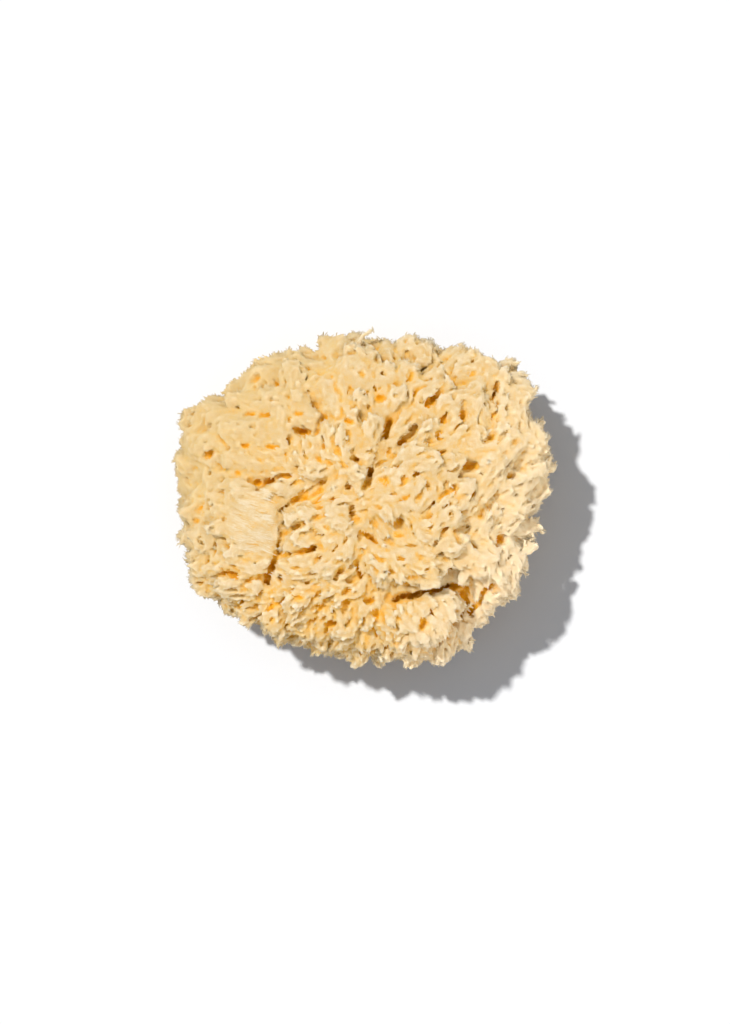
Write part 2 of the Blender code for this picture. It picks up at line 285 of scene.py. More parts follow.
def blurred(field, sigma):
    """Gaussian blur, sigma in millimetres."""
    steps = round(2.6 * sigma / VOXEL)
    weights = np.exp(-((np.arange(steps + 1) * VOXEL / sigma) ** 2) / 2)
    weights = (weights / (2 * weights.sum() - weights[0])).astype(np.float32)
    for axis in range(3):
        edges = [(steps, steps) if i == axis else (0, 0) for i in range(3)]
        line = np.moveaxis(np.pad(field, edges, "edge"), axis, 0)
        count = field.shape[axis]
        out = weights[0] * line[steps : steps + count]
        for k in range(1, steps + 1):
            out += weights[k] * (line[steps - k : steps - k + count] + line[steps + k : steps + k + count])
        field = np.moveaxis(out, 0, axis)
    return np.ascontiguousarray(field)


def spline(t):
    """Cubic B-spline weights of the four knots round a place."""
    return ((1 - t) ** 3 / 6, (3 * t**3 - 6 * t**2 + 4) / 6, (-3 * t**3 + 3 * t**2 + 3 * t + 1) / 6, t**3 / 6)


def noise_field(spacing):
    """Smooth noise over the grid, about -1 to 1, with bumps about this many millimetres apart."""
    places = [np.arange(count) * VOXEL / spacing for count in FIELD.shape]
    values = grid_rng.uniform(-2.2, 2.2, [int(place[-1]) + 4 for place in places]).astype(np.float32)
    for axis, place in enumerate(places):
        start = place.astype(int)
        shape = [-1 if i == axis else 1 for i in range(3)]
        values = sum(
            np.take(values, start + k, axis) * weight.astype(np.float32).reshape(shape)
            for k, weight in enumerate(spline(place - start))
        )
    return values


def noise_knots(points, spacing):
    """Random knots that reach over these points."""
    span = points.max(0) - points.min(0)
    return grid_rng.uniform(-2.2, 2.2, (span / spacing).astype(int) + 5).astype(np.float32)


def noise_at(points, spacing, knots):
    """Smooth noise at points in millimetres from the corner of its knots."""
    place = np.maximum(points, 0) / spacing
    start = np.minimum(place.astype(int), np.array(knots.shape) - 4)
    weights = spline((place - start).astype(np.float32))
    value = np.zeros(len(points), np.float32)
    for i in range(4):
        for j in range(4):
            for k in range(4):
                weight = weights[i][:, 0] * weights[j][:, 1] * weights[k][:, 2]
                value += weight * knots[start[:, 0] + i, start[:, 1] + j, start[:, 2] + k]
    return value


def sample(field, points):
    """Trilinear values of a field at points in millimetres."""
    place = np.asarray(points, np.float32) / VOXEL - LOW
    place = np.clip(place, 0, np.array(field.shape) - 1.001)
    start = np.floor(place).astype(int)
    t = place - start
    value = np.zeros(len(place), np.float32)
    for dx in (0, 1):
        for dy in (0, 1):
            for dz in (0, 1):
                weight = (
                    (t[:, 0] if dx else 1 - t[:, 0])
                    * (t[:, 1] if dy else 1 - t[:, 1])
                    * (t[:, 2] if dz else 1 - t[:, 2])
                )
                value += weight * field[start[:, 0] + dx, start[:, 1] + dy, start[:, 2] + dz]
    return value


def slopes(field, points, step=VOXEL):
    """Unit gradients of a field at points."""
    points = np.asarray(points, np.float32)
    gradient = np.empty_like(points)
    for axis in range(3):
        shift = np.zeros(3, np.float32)
        shift[axis] = step
        gradient[:, axis] = sample(field, points + shift) - sample(field, points - shift)
    return gradient / np.maximum(np.linalg.norm(gradient, axis=1, keepdims=True), 1e-9)


def skin_of(field):
    """Points and outward quads of a field's zero level."""
    grid = openvdb.FloatGrid(BAND * VOXEL)
    grid.transform = openvdb.createLinearTransform(voxelSize=VOXEL)
    grid.gridClass = openvdb.GridClass.LEVEL_SET
    grid.copyFromArray(np.ascontiguousarray(field), ijk=tuple(int(i) for i in LOW))
    points, quads = grid.convertToQuads(isovalue=0.0)
    return points, quads[:, ::-1]


def join(old, new, soft):
    """Smooth union of two distances."""
    h = np.maximum(soft - np.abs(old - new), 0) / soft
    return np.minimum(old, new) - h * h * soft / 4


def window(low, high):
    """The part of the grid between two corners: its slices and coordinates."""
    start = np.maximum(np.floor(low / VOXEL).astype(int) - LOW, 0)
    stop = np.minimum(np.ceil(high / VOXEL).astype(int) - LOW + 1, FIELD.shape)
    if (stop <= start).any():
        return None
    slices = tuple(slice(a, b) for a, b in zip(start, stop))
    x, y, z = ((np.arange(a, b) + origin) * VOXEL for a, b, origin in zip(start, stop, LOW))
    return slices, (x[:, None, None], y[None, :, None], z[None, None, :])


def rod(place, a, b, start_radius, end_radius, flat, normal):
    """Distance to a tapered rod from a to b that is flat times thinner along normal."""
    run = b - a
    px, py, pz = (place[i] - a[i] for i in range(3))
    t = np.clip((px * run[0] + py * run[1] + pz * run[2]) / (run @ run), 0, 1)
    qx, qy, qz = px - t * run[0], py - t * run[1], pz - t * run[2]
    height = qx * normal[0] + qy * normal[1] + qz * normal[2]
    square = qx * qx + qy * qy + qz * qz + (flat * flat - 1) * height * height
    return (np.sqrt(square) - (start_radius + (end_radius - start_radius) * t)) * mix(1, 1 / flat, 0.5)


def add_lobe(points, radii, flat, normal, soft, carve=False):
    """Joins a bent lobe to the field, or carves it out."""
    points = [np.asarray(p, float) for p in points]
    reach = max(radii) + 2 * soft + VOXEL
    found = window(np.min(points, 0) - reach, np.max(points, 0) + reach)
    if not found:
        return
    slices, place = found
    shape = None
    for a, b, start_radius, end_radius in zip(points, points[1:], radii, radii[1:]):
        part = rod(place, a, b, start_radius, end_radius, flat, normal)
        shape = part if shape is None else np.minimum(shape, part)
    old = FIELD[slices]
    FIELD[slices] = -join(-old, shape, soft) if carve else join(old, shape, soft)


# Places on the skin.


def spread(points, gap_of, tries):
    """Indices of points picked in random order, none nearer to another than its gap."""
    order = grid_rng.permutation(len(points))[:tries]
    gaps = gap_of[order]
    cell = float(gaps.max())
    homes = np.floor(points[order] / cell).astype(int).tolist()
    around = [(dx, dy, dz) for dx in (-1, 0, 1) for dy in (-1, 0, 1) for dz in (-1, 0, 1)]
    taken = {}
    picked = []
    for i, (x, y, z), gap, (hx, hy, hz) in zip(order.tolist(), points[order].tolist(), gaps.tolist(), homes):
        square = gap * gap
        free = True
        for dx, dy, dz in around:
            for u, v, w in taken.get((hx + dx, hy + dy, hz + dz), ()):
                if (x - u) ** 2 + (y - v) ** 2 + (z - w) ** 2 < square:
                    free = False
                    break
            if not free:
                break
        if free:
            taken.setdefault((hx, hy, hz), []).append((x, y, z))
            picked.append(i)
    return picked


FLOW_PLACES = np.array([plan(px, py) for px, py, _ in FLOW])
FLOW_HEADINGS = np.array([(math.cos(math.radians(a)), math.sin(math.radians(a))) for _, _, a in FLOW])


def flow_at(places):
    """Level unit vectors that say which way the lobes lie at places, with a slow sway."""
    away = ((places[:, None, :2] - FLOW_PLACES[None]) ** 2).sum(2) + 9
    mean = (FLOW_HEADINGS[None] / away[:, :, None] ** 1.5).sum(1)
    x, y = places[:, 0], places[:, 1]
    turn = np.arctan2(mean[:, 1], mean[:, 0])
    turn = turn + 0.3 * np.sin(0.31 * x + 1.3 * np.cos(0.23 * y))
    turn = turn + 0.3 * np.sin(0.27 * y)
    return np.stack([np.cos(turn), np.sin(turn), np.zeros(len(places))], 1)


def north_west(x, y):
    """How far a place lies towards the north-west."""
    return -0.6 * x + 0.8 * y


def zones(x, y):
    """How far a place belongs to the granular south, the paddled east and the soft north-west."""
    south = ease((SOUTH_FROM - y) / SOUTH_OVER)
    east = ease((x - EAST_FROM) / EAST_OVER) * (1 - south)
    soft_side = ease((north_west(x, y) - SOFT_FROM) / SOFT_OVER) * (1 - east)
    return south, east, soft_side


def by_zone(values, south, east, soft_side):
    """A value given for the middle, the south, the east and the soft north-west, blended at a place."""
    return mix(mix(mix(values[0], values[1], south), values[2], east), values[3], soft_side)


def lie(x, y, n, wander):
    """Which way a lobe lies on the skin, turned by chance, and how far it stands out on a steep side."""
    angle = rng.gauss(0, wander)
    hx, hy, _ = flow_at(np.array([[x, y]]))[0]
    flow = np.array([
        hx * math.cos(angle) - hy * math.sin(angle), hx * math.sin(angle) + hy * math.cos(angle), 0.0
    ])
    tangent = flow - n * (flow @ n)
    size = np.linalg.norm(tangent)
    tangent = tangent / size if size > 0.05 else UP
    return tangent, ease((1 - max(n[2], 0) - 0.3) / 0.5)


def grow_lobes(points, normals):
    """Covers the skin with lobes that lie along the flow on top and stand out at the sides."""
    for p, n in zip(points, normals):
        zone = zones(p[0], p[1])
        south, east, soft_side = zone
        tangent, stand = lie(p[0], p[1], n, wander=0.4)
        width = by_zone(LOBE_WIDTHS, *zone) * rng.uniform(0.65, 1.3)
        length = by_zone(LOBE_LENGTHS, *zone) * rng.uniform(0.6, 1.4)
        flat = mix(1.4, 2.0, east) * rng.uniform(0.9, 1.2)
        soft = mix(mix(1.7, 1.2, south), 2.4, soft_side)
        length *= mix(1, 0.5, stand)
        lift = mix(0.06, 0.35, stand)
        axis = tangent * (1 - lift) + n * lift
        axis /= np.linalg.norm(axis)
        droop = np.array([0, 0, rng.uniform(-0.5, 0.3) * stand])
        rise = n * rng.uniform(-0.6, 0.2)
        root = p - axis * length * mix(0.45, 0.3, stand) + rise
        middle = p + axis * length * 0.1 + rise + n * rng.uniform(0.0, 0.35)
        tip = p + (axis + droop) * length * 0.5 + rise + n * rng.uniform(-0.5, 0.4)
        radius = width / 2
        flat_way = n if stand < 0.5 else np.cross(axis, UP)
        flat_way = flat_way / max(np.linalg.norm(flat_way), 1e-6)
        radii = (radius * 0.9, radius, radius * rng.uniform(0.85, 1.05))
        add_lobe((root, middle, tip), radii, flat, flat_way, soft)


def grow_flakes(points, normals):
    """Small flat flakes over the lobes, shingled along the flow, finest in the south."""
    for p, n in zip(points, normals):
        south, east, soft_side = zones(p[0], p[1])
        if rng.random() < 0.4 * soft_side:
            continue
        tangent, stand = lie(p[0], p[1], n, wander=0.45)
        radius = rng.uniform(0.55, 1.0) * mix(mix(1, 0.85, south), 1.1, east)
        length = rng.uniform(1.4, 3.4) * mix(mix(1, 0.7, south), 1.4, east) * mix(1, 0.7, stand)
        lift = mix(mix(0.12, 0.36, south), 0.22, stand)
        axis = tangent * (1 - lift) + n * lift
        axis /= np.linalg.norm(axis)
        root = p - axis * length * 0.5 - n * 0.45
        tip = p + axis * length * 0.5 - n * mix(0.1, 0.0, south)
        add_lobe((root, tip), (radius * 0.8, radius), flat=1.7, normal=n, soft=mix(0.7, 0.4, south))


def top_of(x, y):
    """Height of the top of the field over a place in plan."""
    i, j = (int(round(v / VOXEL)) - low for v, low in zip((x, y), LOW[:2]))
    i = min(max(i, 0), FIELD.shape[0] - 1)
    j = min(max(j, 0), FIELD.shape[1] - 1)
    solid = np.nonzero(FIELD[i, j] < 0)[0]
    return (solid[-1] + LOW[2]) * VOXEL if len(solid) else None


def dig(px, py, half_width, half_length, turn, depth):
    """One pore, longer than wide, under a pixel of the photograph."""
    x, y = plan(px, py)
    top = top_of(x, y)
    if top is None:
        return
    turn = math.radians(turn)
    along = np.array([math.cos(turn), math.sin(turn), 0.0])
    across = np.array([-along[1], along[0], 0.0])
    span = max(half_length - half_width, 0.05)
    middle = np.array([x, y, top])
    for sink, size in PORE_STEPS:
        centre = middle - np.array([0, 0, depth * PORE_SINK * sink - 0.4])
        ends = (centre - along * span * size, centre + along * span * size)
        radius = half_width * size * PORE_WIDTH
        add_lobe(ends, (radius, radius), flat=1.0, normal=across, soft=0.9, carve=True)


def cut_crevice(half_width, depth, pixels):
    """A crevice that wanders and changes width along its way."""
    for a, b in zip(pixels, pixels[1:]):
        length = math.dist(a, b) * PHOTO_SCALE
        steps = max(1, round(length / 0.9))
        turn = math.degrees(math.atan2(a[1] - b[1], b[0] - a[0]))
        for i in range(steps):
            t = (i + 0.5) / steps
            px = mix(a[0], b[0], t) + rng.uniform(-0.6, 0.6)
            py = mix(a[1], b[1], t) + rng.uniform(-0.6, 0.6)
            wide = half_width * rng.uniform(0.7, 1.25)
            dig(px, py, wide * CREVICE_WIDTH, wide + 0.3, turn, depth * rng.uniform(0.4, 0.8))


def raised(px, py, rise=0.0):
    """The point of the top over a pixel, and this much higher."""
    x, y = plan(px, py)
    top = top_of(x, y)
    return np.array([x, y, (top if top is not None else 0.0) + rise])


def blade(path, radii, flat, rises, soft):
    """A lobe along pixels of the photograph, lying on the top, that stands out past a steep side."""
    points = [raised(px, py, rise) for (px, py), rise in zip(path, rises)]
    for before, here in zip(points, points[1:]):
        here[2] = max(here[2], before[2] - STEEPEST * math.dist(before[:2], here[:2]))
    add_lobe(points, radii, flat, UP, soft)
    return points[-1][2]


def cut_slot(pixels, half_width, depth):
    """A narrow crevice along pixels, with an even floor."""
    for sink, size in ((0.2, 1.0), (1.0, 0.7)):
        points = []
        for px, py in pixels:
            height = float(np.median([raised(px + step, py)[2] for step in (-5, 0, 5)]))
            points.append(np.array([*plan(px, py), height - depth * sink]))
        radii = (half_width * size,) * len(points)
        add_lobe(points, radii, flat=1.0, normal=UP, soft=0.5, carve=True)


def add_fan():
    """The sheet under the fine fibres of the west, whose right edge hangs over a crevice."""
    west, middle, east = FAN_COLUMNS
    for k, (left, right) in enumerate(FAN_ROWS):
        path = [(west + 2 * k, left), (middle, (left + right) / 2), (east - k, right)]
        blade(path, (1.8, 2.3, 2.4), flat=3.5, rises=(-1.2, -0.5, 0.0), soft=1.4)


def add_shelf():
    """The ragged shelf of the lower middle over its hollow, and the flap below it."""
    for px, py in SHELF_HOLLOW:
        dig(px, py, half_width=1.5, half_length=2.2, turn=10, depth=9)
    (left, left_y), (right, right_y) = SHELF_EDGE
    for i in range(SHELF_TEETH):
        t = i / (SHELF_TEETH - 1)
        edge = (mix(left, right, t), mix(left_y, right_y, t ** 1.2))
        start = (edge[0] + rng.uniform(-2, 5), edge[1] - rng.uniform(5, 9))
        end = (edge[0] + rng.uniform(-4, 3), edge[1] + rng.uniform(0, 6))
        height = raised(*start)[2] + rng.uniform(-0.5, 0.2)
        path = ((start, -0.6), (edge, -0.1), (end, -0.6))
        points = [np.array([*plan(*pixel), height + rise]) for pixel, rise in path]
        add_lobe(points, (1.0, rng.uniform(0.8, 1.4), 0.7), flat=1.5, normal=UP, soft=0.8)
    for i in range(FLAP_TUFTS):
        px, py = rng.uniform(*FLAP_X), rng.uniform(*FLAP_Y)
        path = [(px, py), (px + rng.uniform(0, 5), py + rng.uniform(3, 9))]
        blade(path, (1.2, 1.0), flat=1.5, rises=(-0.4, 0.2), soft=0.4)


def add_paddles():
    """The broad flat paddles of the east, and their combed ends."""
    for path, width in PADDLES:
        path = [np.array(pixel, float) for pixel in path]
        radii = (width * 0.65, width * 0.85, width * 0.9)
        end_height = blade(path, radii, flat=2.0, rises=(-1.3, -0.7, -0.6), soft=1.6)
        way = path[-1] - path[-2]
        way /= np.linalg.norm(way)
        across = np.array([-way[1], way[0]])
        for i in range(COMB_TEETH):
            t = (i + 0.5) / COMB_TEETH * 2 - 1
            foot = path[-1] + across * t * width / PHOTO_SCALE * 0.9
            tip = foot + (way + across * t * 0.3) * rng.uniform(1, 5)
            tooth = ((foot, -0.2), (tip, -0.9))
            points = [np.array([*plan(*pixel), end_height + rise]) for pixel, rise in tooth]
            add_lobe(points, (0.8, 0.6), flat=1.0, normal=UP, soft=0.4)


def add_wisp():
    """The loose strand that stands out at the back: three fibres that part at the tip."""
    *foot, (tip_x, tip_y) = WISP
    for k in range(3):
        points = [
            np.array([*plan(px + rng.uniform(-0.8, 0.8), py), WISP_HEIGHT + rng.uniform(-0.6, 0.6)])
            for px, py in (*foot, (tip_x + k, tip_y + k))
        ]
        add_lobe(points, (1.0, 0.8, 0.6, 0.45), flat=1.0, normal=UP, soft=0.3)


def random_pits(points, normals, kind):
    """Slots between the lobes, all round: PIT or GROOVE."""
    half_widths, spans, sinks, missing = kind
    for p, n in zip(points, normals):
        _, _, soft_side = zones(p[0], p[1])
        if rng.random() < missing * soft_side:
            continue
        tangent, _ = lie(p[0], p[1], n, wander=0.35)
        half_width = rng.uniform(*half_widths)
        span = rng.uniform(*spans)
        sink = rng.uniform(*sinks)
        bow = np.cross(n, tangent) * rng.uniform(-0.35, 0.35) * span
        for depth, size in ((-0.8, 1.0), (sink * 0.5, 0.95), (sink, 0.7)):
            centre = p - n * depth
            ends = (centre - tangent * span * size, centre + bow, centre + tangent * span * size)
            narrow = half_width * 0.7 * size
            add_lobe(ends, (narrow, half_width * size, narrow), flat=1.0, normal=n, soft=1.0, carve=True)


def on_skin(gap_of, tries=TRIES):
    """Places picked on the present skin, with the way out of each."""
    points, _ = skin_of(FIELD)
    points = points[points[:, 2] > -1]
    picked = points[spread(points, gap_of(points[:, 0], points[:, 1]), tries)]
    return picked, slopes(ENVELOPE, picked, 1.5)


def lobe_gap(x, y):
    """Least distance between lobes: close in the south, wide in the east and the north-west."""
    south_of, east_of, north_west_of = GAP_EDGES
    gap = np.full(len(x), LOBE_GAPS[0])
    gap[y < south_of] = LOBE_GAPS[1]
    gap[(x > east_of) | (north_west(x, y) > north_west_of)] = LOBE_GAPS[2]
    return gap


def gap_by_south(gaps):
    """A least distance that is one number in the south and another elsewhere."""
    return lambda x, y: np.where(y < SOUTH_FROM, *gaps)


def trimmed(field):
    """Moves the outline seen from above in or out by OUTLINE_TRIM, and leaves the middle alone."""
    x, y = ((np.arange(field.shape[i]) + LOW[i]) * VOXEL for i in (0, 1))
    x, y = x[:, None], y[None, :]
    count = len(OUTLINE_TRIM)
    place = (np.arctan2(y, x) / math.tau * count) % count
    amount = np.interp(place, np.arange(count + 1), [*OUTLINE_TRIM, OUTLINE_TRIM[0]])
    weight = np.clip((np.hypot(x, y) - TRIM_FROM) / (TRIM_FULL - TRIM_FROM), 0, 1)
    return field - (amount * weight)[:, :, None].astype(np.float32)


CAD_FIELD, LOW = cad_field()
ENVELOPE = trimmed(blurred(CAD_FIELD, FACET_BLUR))
FIELD = ENVELOPE + SKIN_DEPTH
for px, py, low, high, radius in NOTCH_FILLS:
    x, y = plan(px, py)
    add_lobe(((x, y, low), (x, y, high)), (radius, radius), flat=1.0, normal=UP, soft=4.0)
grow_lobes(*on_skin(lobe_gap))
random_pits(*on_skin(gap_by_south(PIT_GAPS)), PIT)
add_paddles()
grow_flakes(*on_skin(gap_by_south(FLAKE_GAPS), FLAKE_TRIES))
random_pits(*on_skin(gap_by_south(GROOVE_GAPS)), GROOVE)
add_fan()
add_shelf()
add_wisp()
for pore in (*PORES, *HOLLOW):
    dig(*pore)
for crevice in CREVICES:
    cut_crevice(*crevice)
cut_slot(FAN_EDGE, half_width=1.0, depth=2.4)

(fine, fine_spacing), (coarse, coarse_spacing) = GRAIN
FIELD += fine * noise_field(fine_spacing) + coarse * noise_field(coarse_spacing)
heights = (np.arange(FIELD.shape[2]) + LOW[2]) * VOXEL
FIELD = np.maximum(FIELD, -heights[None, None, :]).astype(np.float32)


# Meshes.


def largest_part(points, quads):
    """Keeps the biggest connected part of a mesh."""
    parent = np.arange(len(points))
    a = quads.reshape(-1)
    b = np.roll(quads, 1, axis=1).reshape(-1)
    while True:
        differ = parent[a] != parent[b]
        if not differ.any():
            break
        roots = np.sort(np.stack((parent[a[differ]], parent[b[differ]])), axis=0)
        parent[roots[1]] = roots[0]
        while (parent[parent] != parent).any():
            parent = parent[parent]
    names, counts = np.unique(parent, return_counts=True)
    keep = parent == names[counts.argmax()]
    index = np.cumsum(keep) - 1
    return points[keep], index[quads[keep[quads[:, 0]]]]


def mesh_object(name, points, faces):
    """A smooth mesh object from points in millimetres."""
    mesh = bpy.data.meshes.new(name)
    mesh.vertices.add(len(points))
    mesh.vertices.foreach_set("co", (np.asarray(points, np.float32) * MM).reshape(-1))
    size = faces.shape[1]
    mesh.loops.add(faces.size)
    mesh.loops.foreach_set("vertex_index", faces.reshape(-1).astype(np.int32))
    mesh.polygons.add(len(faces))
    mesh.polygons.foreach_set("loop_start", np.arange(0, faces.size, size, dtype=np.int32))
    mesh.update(calc_edges=True)
    mesh.shade_smooth()
    obj = bpy.data.objects.new(name, mesh)
    bpy.context.scene.collection.objects.link(obj)
    return obj


def thinned(obj, triangles):
    """Brings a mesh down to this many triangles."""
    modifier = obj.modifiers.new("thin", "DECIMATE")
    modifier.ratio = min(1.0, triangles / (2 * len(obj.data.polygons)))
    bpy.context.view_layer.update()
    graph = bpy.context.evaluated_depsgraph_get()
    mesh = bpy.data.meshes.new_from_object(obj.evaluated_get(graph))
    obj.modifiers.clear()
    obj.data = mesh
    mesh.shade_smooth()
    return obj


def unit(vectors):
    """Vectors made one long."""
    return vectors / np.maximum(np.linalg.norm(vectors, axis=1, keepdims=True), 1e-6)


def store(obj, name, values):
    """Saves one number per vertex, 0 where none is given."""
    layer = obj.data.attributes.new(name, "FLOAT", "POINT")
    if len(values):
        layer.data.foreach_set("value", np.asarray(values, np.float32))


points, quads = largest_part(*skin_of(FIELD))
NEAR = blurred(np.clip(FIELD, -2, 2), 0.7)
WIDE = blurred(np.clip(FIELD, -4, 4), 2.2)
corner = points.min(0)

# What moves the meshes' points a little: spacing, size and knots of each noise.
WANDER = [
    (spacing, size, [noise_knots(points, spacing) for _ in range(3)])
    for spacing, size in ((3.2, 0.5), (1.4, 0.15))
]


def wandered(places):
    """Shifts points a little every way, but hardly up or down near the flat base."""
    shift = np.zeros_like(places)
    for spacing, size, knots in WANDER:
        for axis in range(3):
            shift[:, axis] += size * noise_at(places - corner, spacing, knots[axis])
    shift[:, 2] *= np.clip(places[:, 2] / 4, 0, 1)
    return places + shift


def relief_at(places):
    """How far places stand out from the skin about them, less what they lie below the envelope."""
    return sample(WIDE, places) + 0.35 * np.clip(sample(ENVELOPE, places) + 0.9, -5, 1)


def finish_piece(obj, pale, soft_field, softness, read_at=None):
    """Stores what the material reads, lets the points wander, and leans the normals to a soft field's."""
    places = np.empty(len(obj.data.vertices) * 3, np.float32)
    obj.data.vertices.foreach_get("co", places)
    places = places.reshape(-1, 3) / MM
    read_at = places if read_at is None else read_at
    store(obj, "crease", sample(NEAR, read_at))
    store(obj, "relief", relief_at(read_at))
    store(obj, "pale", pale)
    obj.data.vertices.foreach_set("co", (wandered(places) * MM).reshape(-1))
    obj.data.update()
    own = np.empty(len(places) * 3, np.float32)
    obj.data.vertices.foreach_get("normal", own)
    own = own.reshape(-1, 3)
    lean = np.where(places[:, 2:] > 0.3, softness, 0.0)
    soft = slopes(soft_field, places, 1.0) + np.array([0, 0, NORMAL_RISE])
    obj.data.normals_split_custom_set_from_vertices(unit(own * (1 - lean) + soft * lean))


def strands(name, roots, axes, sides, bends, lengths, widths, bleach):
    """Joined short fibres, each rooted under the skin, a little flat and bent. They cast no shadow."""
    thick = np.cross(axes, sides)
    rows = []
    pale = []
    for t, swell in STRAND_RINGS:
        centre = roots + (axes * t + bends * t * abs(t)) * lengths[:, None]
        for k in range(STRAND_SIDES):
            turn = math.tau * k / STRAND_SIDES
            way = sides * math.cos(turn) + thick * (math.sin(turn) / STRAND_FLAT)
            rows.append(centre + way * (widths * swell / 2)[:, None])
            pale.append(max(t, 0))
    rows.append(roots + (axes + bends) * lengths[:, None])
    pale.append(1)
    count = len(rows)
    points = np.stack(rows, 1).reshape(-1, 3)
    points[:, 2] = np.maximum(points[:, 2], STRAND_LOWEST)
    firsts = count * np.arange(len(roots))[:, None, None]
    triangles = (np.array(strand_faces(count))[None] + firsts).reshape(-1, 3)
    pale = (np.array(pale)[None] * (1 + bleach[:, None])).reshape(-1)
    made = mesh_object(name, points, triangles)
    finish_piece(made, pale, WIDE, STRAND_SOFTNESS, np.repeat(roots, count, 0))
    made.visible_shadow = False
    return made


def strand_faces(count):
    """Triangles of one fibre of this many points: its closed root, its sides and its tip."""
    faces = [(2, 1, 0)]
    for ring in range(len(STRAND_RINGS) - 1):
        for k in range(STRAND_SIDES):
            a, b = ring * STRAND_SIDES + k, ring * STRAND_SIDES + (k + 1) % STRAND_SIDES
            faces += [(a, b, b + STRAND_SIDES), (a, b + STRAND_SIDES, a + STRAND_SIDES)]
    last = count - 1 - STRAND_SIDES
    return faces + [(last + k, last + (k + 1) % STRAND_SIDES, count - 1) for k in range(STRAND_SIDES)]


def scatter_strands(name, places, normals):
    """Blunt fibres felted to the skin: flat along the flow on top, ruffled in the south and at the sides."""
    count = len(places)
    stand = np.clip((0.7 - normals[:, 2]) / 0.5, 0, 1)
    south = np.clip((SOUTH_FROM - places[:, 1]) / SOUTH_OVER, 0, 1)
    fan = fan_share(places)
    flow = flow_at(places) + grid_rng.normal(0, 0.35, (count, 3))
    flow = mix(flow, np.array(FAN_WAY) + grid_rng.normal(0, 0.05, (count, 3)), fan[:, None])
    flow -= normals * (flow * normals).sum(1)[:, None]
    lift = (0.12 + 0.16 * south + 0.3 * stand + grid_rng.uniform(-0.1, 0.16, count)) * (1 - 0.6 * fan)
    axes = unit(unit(flow) * (1 - lift[:, None]) + normals * lift[:, None])
    sides = unit(np.cross(axes, normals))
    bends = (grid_rng.normal(0, 0.14, (count, 3)) - np.array([0, 0, 0.06])) * (1 - 0.8 * fan[:, None])
    lengths = grid_rng.uniform(0.8, 2.0, count) * (1 - 0.3 * south)
    lengths = mix(lengths, grid_rng.uniform(2.2, 4.4, count), fan)
    widths = mix(grid_rng.uniform(0.35, 0.75, count), grid_rng.uniform(0.28, 0.42, count), fan)
    over_pit = np.clip((sample(FIELD, places + axes * lengths[:, None]) - 0.35) / 0.4, 0, 1)
    lengths *= 1 - 0.7 * over_pit * (1 - stand) * (1 - fan)
    roots = places - normals * mix(0.2, 0.0, fan)[:, None]
    return strands(name, roots, axes, sides, bends, lengths, widths, 2.5 * fan + 2 * stand)


def fan_share(places):
    """1 within the fan of fine fibres in the west, 0 outside."""
    px, py, half_width, half_height, east = FAN_OVAL
    (x, y), (edge, _) = plan(px, py), plan(east, py)
    across = (places[:, 0] - x) / half_width / PHOTO_SCALE
    up = (places[:, 1] - y) / half_height / PHOTO_SCALE
    return ((across**2 + up**2 < 1) & (places[:, 0] < edge) & (places[:, 2] > FAN_LOWEST)).astype(float)


body = thinned(mesh_object("sponge_body", points, quads), BODY_TRIANGLES)
finish_piece(body, np.zeros(0), NEAR, BODY_SOFTNESS)
skin = points[points[:, 2] > 0.4]
skin = skin[sample(NEAR, skin) > OUT_OF_PITS]
chosen = skin[grid_rng.choice(len(skin), STRANDS_EACH * STRAND_PIECES - FAN_FIBRES, replace=False)]
fan_skin = skin[fan_share(skin) > 0]
chosen = np.concatenate([chosen, fan_skin[grid_rng.choice(len(fan_skin), FAN_FIBRES, replace=False)]])
chosen = grid_rng.permutation(chosen)
ways = slopes(WIDE, chosen, 1.0)
layers = [
    scatter_strands(f"fibres_{i + 1}", chosen[i::STRAND_PIECES], ways[i::STRAND_PIECES])
    for i in range(STRAND_PIECES)
]


# Materials.

# What the level of a place is made of, and the levels that the first and last tone stand for.
RELIEF_SHARE, CREASE_SHARE, ROUGH_SHARE, GRAIN_SHARE, PALE_SHARE = 0.28, 0.8, 0.6, 0.5, 0.15
DEEPEST, HIGHEST = -0.76, 0.91

# Painted shade: the colour from golden and dark deep in the pits, as if shaded and lit by light scattered in
# the fibre, up to the felt's cream on the highest crests.
PIT_SHADE_TONES = (
    (0.0, (0.57, 0.245, 0.006, 1)), (0.11, (0.59, 0.275, 0.015, 1)), (0.19, (0.60, 0.298, 0.031, 1)),
    (0.34, (0.565, 0.322, 0.073, 1)), (0.5, (0.497, 0.337, 0.135, 1)), (0.654, (0.472, 0.354, 0.191, 1)),
    (1.0, (0.50, 0.435, 0.325, 1)),
)
SPECK = (0.42, 0.19, 0.07, 1)
# Painted light on the east and south-east, which lie away from the key lamp, and painted shade on the west,
# which faces it.
EAST_PAINTED_LIGHT = (0.65, 0.54, 0.375, 1)
SOUTH_EAST_PAINTED_LIGHT = (0.57, 0.474, 0.35, 1)
WEST_PAINTED_SHADE = (0.45, 0.331, 0.157, 1)


